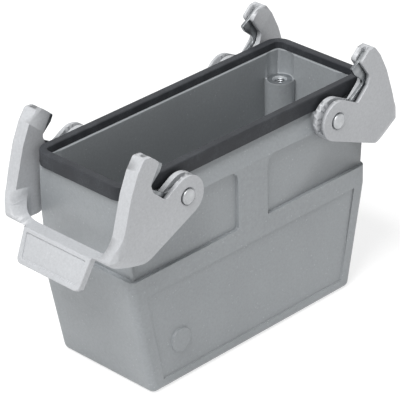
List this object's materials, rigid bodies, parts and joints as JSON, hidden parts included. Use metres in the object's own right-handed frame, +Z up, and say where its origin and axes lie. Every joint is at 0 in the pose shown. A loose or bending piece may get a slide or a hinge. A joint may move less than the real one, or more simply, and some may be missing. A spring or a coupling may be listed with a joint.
{
  "type": "rectangular connector housing",
  "caption": "Deep metal coupling housing for a rectangular plug connector, with an open gasketed rim, a cable entry below and swinging locking levers at both ends.",
  "frame": {"origin": "centre of the cable entry's mouth, on the underside of the housing", "axes": "+X along the length, -Y out of the front long side with the round pad, +Z up out of the open rim"},
  "size_m": [0.1519, 0.0584, 0.0957],
  "materials": {
    "housing_paint": "fine powder coat on a die casting",
    "lever_paint": "smooth light grey coat",
    "gasket_rubber": "smooth moulded",
    "steel": "plain, bright"
  },
  "bodies": {
    "hood": {"hood_shell": "housing_paint", "rim_gasket": "gasket_rubber", "pivot_pin_left_front": "steel", "pivot_pin_left_back": "steel", "pivot_pin_right_front": "steel", "pivot_pin_right_back": "steel"},
    "left_locking_lever": {"lever_left": "lever_paint", "latch_leaf_left_front": "steel", "latch_leaf_left_back": "steel"},
    "right_locking_lever": {"lever_right": "lever_paint", "latch_leaf_right_front": "steel", "latch_leaf_right_back": "steel"}
  },
  "joints": [
    {"name": "left_lever_swing", "type": "hinge", "parent": "hood", "child": "left_locking_lever", "pos_m": [-0.0368, 0, 0.074], "axis": [0, 1, 0], "range_deg": [-18, 60]},
    {"name": "right_lever_swing", "type": "hinge", "parent": "hood", "child": "right_locking_lever", "pos_m": [0.0368, 0, 0.074], "axis": [0, -1, 0], "range_deg": [-20, 58]}
  ]
}
